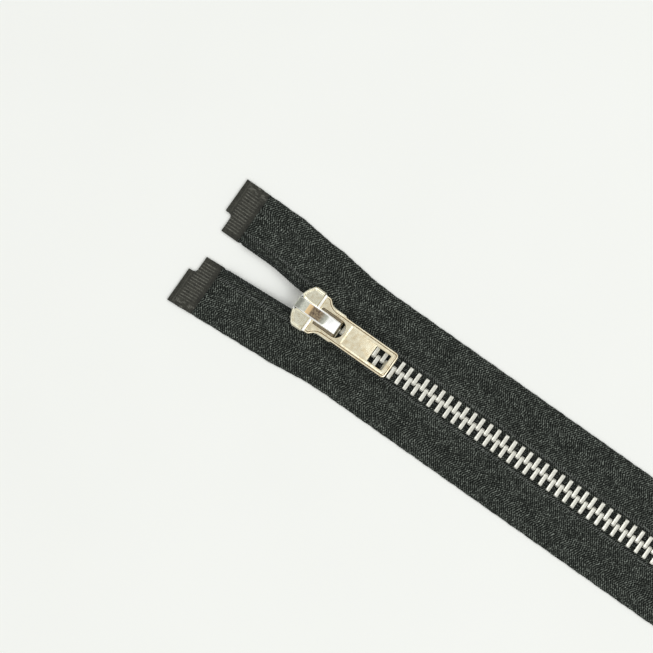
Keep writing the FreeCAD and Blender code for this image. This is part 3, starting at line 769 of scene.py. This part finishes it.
def make_tape(label, side):
    step = 0.21
    width = TAPE_EDGE - BEAD_Y
    body_end = film_start(label) - 0.2
    rows = np.linspace(BOTTOM, body_end, int((body_end - BOTTOM) / step))
    column_share = np.linspace(0, 1, int(width / step))
    column_share = np.concatenate([column_share, notch_columns(8)])
    column_share = np.unique(np.round(column_share, 5))
    body_x = np.repeat(rows[:, None], len(column_share), axis=1)
    tip = end_rows(label, column_share, body_end, 32)[1:]
    x = np.concatenate([body_x, tip])
    share = np.broadcast_to(column_share, x.shape)
    y, across = tape_grid(label, side, x, share)
    middle = tape_height(label, x, across)
    under_film = np.maximum(ease((x - body_end) / 0.3), ease((FOOT_END + 0.3 - x) / 0.5))
    half = TAPE_HALF + (CORE_HALF - TAPE_HALF) * under_film - 0.04 * (1 - under_film)
    to_edge = np.minimum(share, 1 - share) * width
    half = half * np.sqrt(np.clip(1 - (1 - np.clip(to_edge / 0.25, 0, 1)) ** 2, 0.03, 1))
    relief = 0.03 * twill_relief(x, TAPE_EDGE - across) * (1 - under_film)
    valley = 0.03 * np.exp(-(((across - 3.2) / 0.35) ** 2)) * (x < FRONT)
    top = np.stack([x, side * y, middle + half + relief - valley], axis=2)
    low = middle - half + relief * 0.5
    bottom = np.stack([x, side * y, np.maximum(low, 0.01)], axis=2)
    name = f"{label}_tape_cloth"
    out = TAPE_EDGE - across
    piece = sheet_object(name, side, top, bottom, x, out, MATERIALS["tape"])
    foot_and_tape(piece)
    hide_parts(f"{label}_tape", f"{label}_tape_foot")
    return piece


def notch_columns(count):
    """Columns that follow the notch's rounded root, and one just past its side."""
    share = NOTCH_WIDTH / (TAPE_EDGE - BEAD_Y + BEAD_R)
    return np.concatenate([np.linspace(share * 0.8, share, count), [share + NOTCH_CUT]])


def end_rows(label, share, start, count):
    """Rows of x up to the cut end, where the inner corner is notched."""
    end = tape_end(label)
    width = TAPE_EDGE - BEAD_Y + BEAD_R
    from_inner = share * width
    root = np.clip(from_inner - NOTCH_WIDTH + 1.0, 0, 1)
    rounding = 1 - np.sqrt(1 - root**2)
    inside = end - NOTCH_DEPTH + rounding
    last = np.where(from_inner < NOTCH_WIDTH + 1e-3, inside, end)
    steps = np.linspace(0, 1, count)[:, None]
    return start + (last[None, :] - start) * steps


def make_film(label, side, end_name, face):
    """The reinforcing film at one end of a tape, on its face (1) or its back (-1)."""
    if end_name == "top":
        inner = BEAD_Y - BEAD_R
        share = np.unique(np.concatenate([np.linspace(0, 1, 140), notch_columns(9)]))
        x = end_rows(label, share, film_start(label), 46)
        from_cut = tape_end(label) - x
    else:
        inner = 3.1
        share = np.linspace(0, 1, 120)
        rows = np.linspace(BOTTOM, FOOT_END, 110)
        x = np.repeat(rows[:, None], len(share), axis=1)
        from_cut = x - BOTTOM
    share = np.broadcast_to(share, x.shape)
    across = inner + (TAPE_EDGE - 0.03 - inner) * share
    y = across + tape_drift(side, x)
    middle = tape_height(label, x, across)
    out = TAPE_EDGE - across
    rib_zone = ease((out - 2.2) / 0.4) * ease((RIB_OUT - out) / 0.4)
    rib_zone = rib_zone * ease((from_cut - 1.6) / 0.3) * ease((6.6 - from_cut) / 0.5)
    ribs = 0.06 * np.cos(2 * math.pi * out / RIB_PITCH) * rib_zone
    pressed = -0.05 * np.exp(-(((from_cut - 1.2) / 0.14) ** 2))
    thin_edge = ease(np.minimum(share, 1 - share) * 13 / 0.2)
    outside = middle + face * (CORE_HALF + 0.02 + 0.06 * thin_edge + ribs * 0.6 + pressed)
    inside = middle + face * (CORE_HALF - 0.03)
    upper, lower = (outside, inside) if face > 0 else (inside, outside)
    top = np.stack([x, side * y, np.maximum(upper, 0.02)], axis=2)
    bottom = np.stack([x, side * y, np.maximum(lower, 0.0)], axis=2)
    surface = "face" if face > 0 else "back"
    name = f"{label}_{end_name}_{surface}_film_sheet"
    piece = sheet_object(name, side, top, bottom, from_cut, out, MATERIALS["film"])
    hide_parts(f"{label}_{end_name}_{surface}_film")
    if end_name == "top":
        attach(piece, STRINGER[label])
    else:
        foot_and_tape(piece)
    return piece


def make_cord(label, side):
    """Braided bead cord along the inner edge, thinner in the pin at its foot."""
    low = box_mm(f"{label}_bead_foot")[0][0]
    high = film_start(label) + 0.5
    step = 0.16
    x = np.linspace(low, high, int((high - low) / step))
    around = 18
    in_foot = ease((FOOT_END + 0.1 - x) / 0.2)
    flatten = flattened(label, x, FLATTEN_RUN + 0.5)
    radius = (BEAD_R - 0.02) * (1 - in_foot) + FOOT_BEAD_R * in_foot
    radius = radius * (1 - 0.75 * flatten)
    y = BEAD_Y + tape_drift(side, x) + in_foot * (FOOT_BEAD_Y - BEAD_Y)
    z = settling(x, BEAD_R) * (1 - flatten) + (FLAT_Z + 0.1) * flatten
    angles = np.linspace(0, 2 * math.pi, around, endpoint=False)
    rings = []
    for n in range(len(x)):
        turn = x[n] * 3.6
        plait = np.abs(np.sin(1.5 * angles + turn)) + np.abs(np.sin(1.5 * angles - turn))
        arm = radius[n] * (0.94 + 0.05 * (plait - 1.0))
        ring_y = side * y[n] + arm * np.cos(angles)
        ring_z = z[n] + arm * np.sin(angles)
        rings.append(np.stack([np.full(around, x[n]), ring_y, ring_z], axis=1))
    shell = Shell()
    shell.tube(rings)
    piece = shell_object(f"{label}_bead_braid", shell, MATERIALS["bead_thread"], 80.0)
    foot_and_tape(piece)
    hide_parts(f"{label}_bead_cord", f"{label}_bead_foot")
    return piece


def add_strand(shell, points, radius):
    """A thin round strand through the points."""
    points = np.array(points)
    ahead = np.gradient(points, axis=0)
    ahead /= np.linalg.norm(ahead, axis=1)[:, None]
    aside = np.cross(ahead, (0.0, 0.0, 1.0))
    aside /= np.maximum(np.linalg.norm(aside, axis=1), 1e-6)[:, None]
    up = np.cross(aside, ahead)
    angles = np.linspace(0, 2 * math.pi, 6, endpoint=False)
    count = len(points)
    swell = np.sqrt(np.clip(1 - (np.abs(np.linspace(-1, 1, count)) ** 6), 0.05, 1))
    rings = []
    for n in range(count):
        arms = np.outer(np.cos(angles), aside[n]) + np.outer(np.sin(angles), up[n])
        rings.append(points[n] + radius * swell[n] * arms)
    shell.tube(rings)


def make_stitches(label, side, rng):
    """The binding thread that ties the cord to the tape, seen as short bars beside the teeth."""
    shell = Shell()
    x = FOOT_END + 1.0
    while x < film_start(label) - 0.6:
        reach = STITCH_REACH + rng.uniform(-0.08, 0.1)
        lean = rng.uniform(-0.1, 0.2) + 0.12
        across = np.linspace(reach, reach + rng.uniform(0.75, 1.0), 6)
        places = x + lean * np.linspace(0, 1, 6)
        y = across + tape_drift(side, places)
        hump = 0.07 * np.sin(np.linspace(0, math.pi, 6))
        z = tape_height(label, places, across) + TAPE_HALF - 0.08 + hump
        add_strand(shell, np.stack([places, side * y, z], axis=1), 0.085)
        x += PITCH / 4 * rng.uniform(0.85, 1.15)
    piece = shell_object(f"{label}_binding_stitches", shell, MATERIALS["stitch"], 80.0)
    foot_and_tape(piece)
    return piece


def make_fuzz(label, side, rng):
    """Stray fibres along the selvedge."""
    shell = Shell()
    for _ in range(70):
        x = rng.uniform(BOTTOM + 1, film_start(label) - 1)
        length = rng.uniform(0.35, 0.9)
        heading = rng.uniform(-1.2, 1.2)
        bend = rng.uniform(-0.8, 0.8)
        t = np.linspace(0, 1, 5)
        xs = x + length * (np.sin(heading) * t + bend * t * t * 0.4)
        across = TAPE_EDGE - 0.25 + length * np.cos(heading) * t * 0.75
        y = across + outer_drift(side, xs)
        z = FLAT_Z + rng.uniform(-0.1, 0.1) + 0.2 * t * rng.uniform(-0.6, 1.0)
        add_strand(shell, np.stack([xs, side * y, z], axis=1), 0.018)
    piece = shell_object(f"{label}_stray_fibres", shell, MATERIALS["stitch"], 80.0)
    foot_and_tape(piece)
    return piece


# ---- teeth ----


def clamp_outline(inner):
    """Cross-section of a clamp in the (across, up) plane: blunt nose, slot and round grip."""
    reach = BEAD_Y + math.sqrt(CLAMP_GRIP**2 - CLAMP_SLOT**2)
    lower = [(reach, -CLAMP_SLOT), (CLAMP_BACK, -CLAMP_SLOT), (CLAMP_BACK, -0.9)]
    lower += [(CLAMP_BACK - 0.36, -CLAMP_HALF), (inner + 0.45, -CLAMP_HALF), (inner, -0.7)]
    corners = lower + [(a, -b) for a, b in reversed(lower)]
    radii = [0.04, 0.08, 0.15, 0.3, 0.2, 0.2]
    outside = rounded(corners, radii + radii[::-1], 4)
    start = math.asin(CLAMP_SLOT / CLAMP_GRIP) + 0.15
    angles = np.linspace(start, 2 * math.pi - start, 18)
    grip = [BEAD_Y + CLAMP_GRIP * np.cos(angles), CLAMP_GRIP * np.sin(angles)]
    return np.concatenate([outside, np.stack(grip, axis=1)])[::-1]


def upright(outline, x):
    """An outline in the (across, up) plane as points at one place along the chain."""
    return np.column_stack([np.full(len(outline), x), outline])


def clamp_shell(inner, thickness, rim, linked):
    """One clamp; a linked one has a nib above and a recess below."""
    outline = clamp_outline(inner)
    half = thickness / 2
    middle = rim * 0.3
    places = [(rim, -half), (middle, middle - half), (0, rim - half)]
    places += [(0, half - rim), (middle, half - middle), (rim, half)]
    shell = Shell()
    made = shell.loft([upright(inset(outline, -amount), x) for amount, x in places])
    if not linked:
        shell.fill(made[0])
        shell.fill(made[-1])
        return shell
    recess = rectangle(-0.47, 0.47, -0.6, 0.6, 0.15, 3)
    walls = [upright(recess.inset(0), -half), upright(recess.inset(0.05), 0.2 - half)]
    hollow = shell.loft(walls)
    shell.fill(made[0], hollow[0])
    shell.fill(hollow[1])
    nib = rectangle(-0.35, 0.35, -0.45, 0.45, 0.16, 3)
    rises = [(0, 0), (0, 0.26), (0.04, 0.33), (0.12, 0.36)]
    bump = shell.loft([upright(nib.inset(amount), half + rise) for amount, rise in rises])
    shell.fill(made[-1], bump[0])
    shell.fill(bump[-1])
    return shell


def on_path(distance):
    """Place along the chain, sideways drift and heading after a distance along the path."""
    travelled = distance - BEND_START
    if travelled <= 0:
        return distance, 0.0, 0.0
    half = BEND * SWEEP
    if travelled <= half:
        heading = travelled / BEND
        return BEND_START + BEND * math.sin(heading), BEND * (1 - math.cos(heading)), heading
    heading = (2 * half - travelled) / BEND
    aside = SPREAD - BEND * (1 - math.cos(heading))
    return BEND_START + RUN - BEND * math.sin(heading), aside, heading


def on_bead(side, distance, tilt=0.0, nudge=0.0):
    x, aside, heading = on_path(distance)
    move = Matrix.Translation((x, aside + nudge, CHAIN_Z))
    pivot = Matrix.Translation((0, BEAD_Y, 0))
    move = move @ pivot @ Matrix.Rotation(heading + tilt, 4, "Z") @ pivot.inverted()
    return Matrix.Diagonal((1, side, 1, 1)) @ move


def make_teeth(label, side, rng):
    tooth = clamp_shell(NOSE_REACH, TOOTH, 0.1, linked=True)
    row = Shell()
    first = box_mm(f"{label}_teeth")[0][0] + TOOTH / 2
    last = box_mm(f"{label}_top_stop")[0][0] - TOOTH
    distance = first
    while distance < last:
        tilt = math.radians(rng.uniform(-0.7, 0.7))
        row.copy_in(tooth, on_bead(side, distance, tilt, rng.uniform(-0.02, 0.02)))
        distance += PITCH
    piece = shell_object(f"{label}_tooth_row", row, MATERIALS["teeth"])
    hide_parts(f"{label}_teeth")
    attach(piece, STRINGER[label])
    return piece


def make_stop(label, side):
    low, high = box_mm(f"{label}_top_stop")
    clamp = clamp_shell(STOP_REACH, 2.4, 0.15, linked=False)
    stop = Shell()
    stop.copy_in(clamp, on_bead(side, (low[0] + high[0]) / 2))
    piece = shell_object(f"{label}_stop_clamp", stop, MATERIALS["teeth"])
    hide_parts(f"{label}_top_stop")
    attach(piece, STRINGER[label])
    return piece


# ---- slider ----


def both_sides(half):
    """Whole outline, anticlockwise, from its +Y half listed from front to back."""
    return half + [(x, -y) for x, y in reversed(half)]


def slider_outline(shoulder):
    half = [(0, NOSE), (-0.45, 3.7), (-1.8, shoulder), (-4.9, shoulder - 0.05)]
    half += [(-7.0, (shoulder + WAIST) / 2 - 0.15), (-9.2, WAIST), (-SLIDER_LENGTH, WAIST)]
    radii = [0.3, 1.5, 1.1, 1.6, 3.0, 3.0, 0.7]
    corners = both_sides(half)
    return Outline(corners, radii + radii[::-1], 8).moved(FRONT)


def flange_outline(side, setback):
    """Side wall of the channel, whose inner face follows the path of the teeth."""
    inner = []
    for back in (12.0, 9.0, 6.0, 3.6, 2.2):
        inner.append((-back, CHANNEL + float(drift(FRONT - back))))
    outer = [(-2.2, SHOULDER), (-4.9, SHOULDER - 0.05), (-7.0, SHOULDER - 1.13)]
    outer += [(-9.2, WAIST), (-13.1, WAIST)]
    corners = inner + [(x, y - setback) for x, y in outer] + [(-13.1, CHANNEL + 0.02)]
    radii = [0.2] + [2.0] * 3 + [0.3, 0.3, 1.5, 3.0, 3.0, 0.3, 0.3]
    outline = Outline(corners[::-1], radii[::-1], 5)
    if side < 0:
        outline = outline.flipped()
    return outline.moved(FRONT)


def make_slider_body():
    """Two plates with rolled rims, the wedge that parts the teeth, and the channel's walls."""
    shell = Shell()
    slab(shell, slider_outline(SHOULDER), 0.0, LOWER_PLATE, 0.22)
    drops = [(0.12, 1.03), (0.0, 0.9), (0.0, 0.45), (0.05, 0.29), (0.12, 0.23), (0.46, 0.05)]
    drops += [(0.54, 0.03), (0.6, 0.09), (0.72, 0.1), (0.8, 0.05), (0.95, 0.03)]
    profile = [(amount, SLIDER_TOP - drop) for amount, drop in drops]
    made = shell.loft(rings_at(slider_outline(SHOULDER - SETBACK), profile))
    pawl_hole = rectangle(FRONT - 8.72, FRONT - 7.43, -1.2, -0.15, 0.2)
    bore = shell.loft(rings_at(pawl_hole, [(0, profile[0][1]), (0, profile[-1][1])]))
    shell.fill(made[0], bore[0])
    shell.fill(made[-1], bore[1])
    low, high = LOWER_PLATE - OVERLAP, UPPER_PLATE + OVERLAP
    wedge = Outline([(0, 0.84), (-4.4, 0.2), (-4.4, -0.2), (0, -0.84)], [0.2, 0.1, 0.1, 0.2])
    slab(shell, wedge.moved(FRONT - 0.02), low, high, 0.02)
    for side in (1, -1):
        slab(shell, flange_outline(side, 0.0), low, SLOT_LOW, 0.12)
        slab(shell, flange_outline(side, SETBACK), SLOT_HIGH, high, 0.12)
    piece = shell_object("slider_casting", shell, MATERIALS["slider_metal"])
    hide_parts("slider_body")
    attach(piece, "slider")
    return piece


def crown_section(back, top, floor, bore_top):
    """Closed cross-section of the bridge: outside over the top, then back along the bore."""
    foot = 2.0 + 0.25 * float(1 - ease(back / 2.5))
    half = 1.6 + 0.25 * float(ease(back / 9.0))
    rim = min(0.3 + 0.35 * float(ease((back - 5.0) / 7.0)), (top - floor) * 0.3)
    outside = [(foot, floor), (half + 0.06, top - rim - 0.12), (half, top - rim)]
    for angle in np.linspace(0.15, 1.42, 10):
        outside.append((half - rim + rim * math.cos(angle), top - rim + rim * math.sin(angle)))
    outside.append((half - rim, top))
    outside.append((half * 0.45, top + 0.03))
    outside += [(-y, z) for y, z in reversed(outside)]
    bore = CROWN_BORE_HALF
    inside = [(-bore, floor), (-bore, bore_top - 0.05), (-bore + 0.2, bore_top)]
    inside += [(-y, z) for y, z in reversed(inside)]
    x = FRONT - back
    return [(x, y, z) for y, z in outside + inside]


def make_crown():
    """A bridge with a long brow, a gate for the pull's bar in each side and a rounded tail."""
    heights = [(0, 5.0), (0.6, 5.5), (1.6, 6.2), (3.0, 6.82), (5.0, 7.12), (7.5, 7.17)]
    heights += [(8.6, 7.1), (9.6, 6.88), (11.4, 6.42), (12.2, 6.1), (12.8, 5.7), (13.0, 5.2)]
    gate = (BAR_BACK - GATE_HALF, BAR_BACK + GATE_HALF)
    steps = [gate[0] - 0.001, gate[0], gate[1], gate[1] + 0.001]
    backs = np.array(sorted([*np.linspace(0, CROWN_LENGTH, 66), *steps]))
    tops = smooth_line(backs, heights)
    rings = []
    for back, top in zip(backs, tops):
        floor = PULL_AXIS[2] + GATE_HALF if gate[0] <= back <= gate[1] else CROWN_FOOT
        arch = min(ease((back - 1.4) / 1.5), ease((11.9 - back) / 0.6))
        bore_top = max(SLIDER_TOP + (CROWN_BORE_TOP - SLIDER_TOP) * arch, floor + 0.08)
        rings.append(crown_section(back, top, floor, bore_top))
    shell = Shell()
    shell.tube(rings)
    piece = shell_object("slider_bridge", shell, MATERIALS["crown"], 62.0)
    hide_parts("slider_crown")
    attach(piece, "slider")
    return piece


def make_pull():
    """One casting: round cross bar, head with an eye, sunk panel and square window."""
    arm = HEAD_HALF - 0.12
    half = [(0, arm), (-1.5, arm), (-2.7, 4.35), (-4.0, PULL_HALF + 0.02)]
    half.append((-PULL_LENGTH, PULL_HALF))
    radii = [0.8, 0.9, 2.0, 3.0, 1.0]
    outline = Outline(both_sides(half), radii + radii[::-1], 8)
    eye = Outline(both_sides([(-1.0, 2.45), (-9.1, 2.55)]), [0.25, 2.2, 2.2, 0.25], 10)
    panel = rectangle(-PANEL_BACK, -PANEL_FRONT, -PANEL_HALF, PANEL_HALF, 0.6)
    window = rectangle(-22.7, -18.15, -2.3, 2.3, 0.22)
    shell = Shell()
    top, bed = PULL_THICK, PULL_THICK - PANEL_DEPTH
    rim = [(0.2, -top), (0.06, -0.52), (0, -0.4), (0, 0.38), (0.03, 0.46), (0.3, 0.57)]
    rim += [(0.36, 0.57), (0.41, 0.42), (0.53, 0.4), (0.59, 0.57), (0.66, top)]
    outer = shell.loft(rings_at(outline, rim))
    lip = [(-0.22, top), (-0.1, 0.56), (0, 0.42), (0, -0.45), (-0.12, -top)]
    ring = shell.loft(rings_at(eye, lip))
    slope = [(-0.04, top), (0.02, 0.58), (0.36, bed + 0.02), (0.44, bed)]
    sunk = shell.loft(rings_at(panel, slope))
    frame_edge = [(-0.2, bed), (-0.06, 0.33), (0, 0.26), (0, -0.48), (-0.08, -top)]
    hole = shell.loft(rings_at(window, frame_edge))
    shell.fill(outer[-1], ring[0], sunk[0])
    shell.fill(sunk[-1], hole[0])
    shell.fill(outer[0], ring[-1], hole[-1])
    add_bar(shell, HEAD_HALF, BAR_RADIUS)
    whole = Shell()
    whole.copy_in(shell, Matrix.Translation(PULL_AXIS))
    piece = shell_object("pull_casting", whole, MATERIALS["pull"])
    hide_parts("pull_tab")
    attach(piece, "pull")
    return piece


def add_bar(shell, half, radius):
    """The round cross bar, with rounded ends."""
    angles = np.linspace(0, 2 * math.pi, 28, endpoint=False)
    stops = [(-half, 0.6), (-half + 0.06, 0.85), (-half + 0.2, 1.0)]
    stops += [(half - 0.2, 1.0), (half - 0.06, 0.85), (half, 0.6)]
    rings = []
    for y, share in stops:
        x = radius * share * np.cos(angles)
        z = radius * share * np.sin(angles)
        rings.append(np.column_stack([x, np.full(len(angles), y), z]))
    shell.tube(rings)


def dress_cad_nodes():
    """Finish for the CAD nodes that are shown as they are."""
    finishes = {
        "retainer_box": "foot_metal",
        "box_pin": "foot_metal",
        "insertion_pin": "foot_metal",
        "lock_pawl": "spring_steel",
    }
    for node, finish in finishes.items():
        shown = frame["nodes"][node]
        shown.data.materials.clear()
        shown.data.materials.append(MATERIALS[finish])


# ---- stage, in metres ----

FLOOR_REACH = 3.0
FLOOR_GAP = 0.00002
CAMERA_PLACE = (0.06443, 0.0011, 0.4045)
CAMERA_RIGHT = (-0.8171, -0.5764, 0.0)


def add_floor():
    """A wide flat top, a hair below the zipper's underside."""
    mesh = bpy.data.meshes.new("table_top")
    corners = [(-1, -1), (1, -1), (1, 1), (-1, 1)]
    points = [(x * FLOOR_REACH, y * FLOOR_REACH, -FLOOR_GAP) for x, y in corners]
    mesh.from_pydata(points, [], [(0, 1, 2, 3)])
    mesh.materials.append(floor_paint())
    floor = bpy.data.objects.new("table_top", mesh)
    bpy.context.scene.collection.objects.link(floor)


def add_light(name, place, size, power, colour):
    data = bpy.data.lights.new(name, "AREA")
    data.shape = "DISK"
    data.size = size
    data.energy = power
    data.color = colour
    lamp = bpy.data.objects.new(name, data)
    lamp.location = place
    lamp.rotation_euler = (-Vector(place)).to_track_quat("-Z", "Y").to_euler()
    bpy.context.scene.collection.objects.link(lamp)


def set_world():
    """Even studio surround: bright from all sides, less so from the ceiling and the horizon."""
    world = bpy.data.worlds.new("surround")
    bpy.context.scene.world = world
    world.use_nodes = True
    tree = world.node_tree
    background = tree.nodes["Background"]
    where = tree.nodes.new("ShaderNodeTexCoord")
    split = tree.nodes.new("ShaderNodeSeparateXYZ")
    tree.links.new(where.outputs["Generated"], split.inputs[0])
    height = Num(tree, split.outputs[2])
    band = height.step_up(0.3, 0.5) * 0.57 + 0.45
    glow = band + height.step_up(0.84, 0.95) * -0.31
    background.inputs["Color"].default_value = (1.0, 1.0, 0.985, 1.0)
    tree.links.new(glow.socket, background.inputs["Strength"])


def add_camera():
    """Looks straight down on the slider, with the chain running down to the right."""
    data = bpy.data.cameras.new("camera")
    data.lens = 85.0
    camera = bpy.data.objects.new("camera", data)
    right = Vector(CAMERA_RIGHT).normalized()
    back = Vector((0.0, 0.0, 1.0))
    up = back.cross(right)
    turn = Matrix((right, up, back)).transposed().to_4x4()
    camera.matrix_world = Matrix.Translation(CAMERA_PLACE) @ turn
    data.clip_start = 0.01
    bpy.context.scene.collection.objects.link(camera)
    bpy.context.scene.camera = camera


# ---- everything together ----

rng = random.Random(11)
for label, side in SIDES:
    cloth = make_tape(label, side)
    films = [make_film(label, side, end, face) for end in ("top", "foot") for face in (1, -1)]
    cord = make_cord(label, side)
    stitches = make_stitches(label, side, rng)
    fuzz = make_fuzz(label, side, rng)
    make_teeth(label, side, rng)
    make_stop(label, side)
make_slider_body()
make_crown()
make_pull()
dress_cad_nodes()

add_floor()
set_world()
add_light("key", (-0.75, 0.35, 1.05), 0.6, 2.6, (1.0, 0.995, 0.98))
add_light("fill", (0.3, -0.9, 0.9), 0.5, 1.2, (0.97, 0.99, 1.0))
add_camera()
bpy.context.scene.view_settings.view_transform = "Standard"
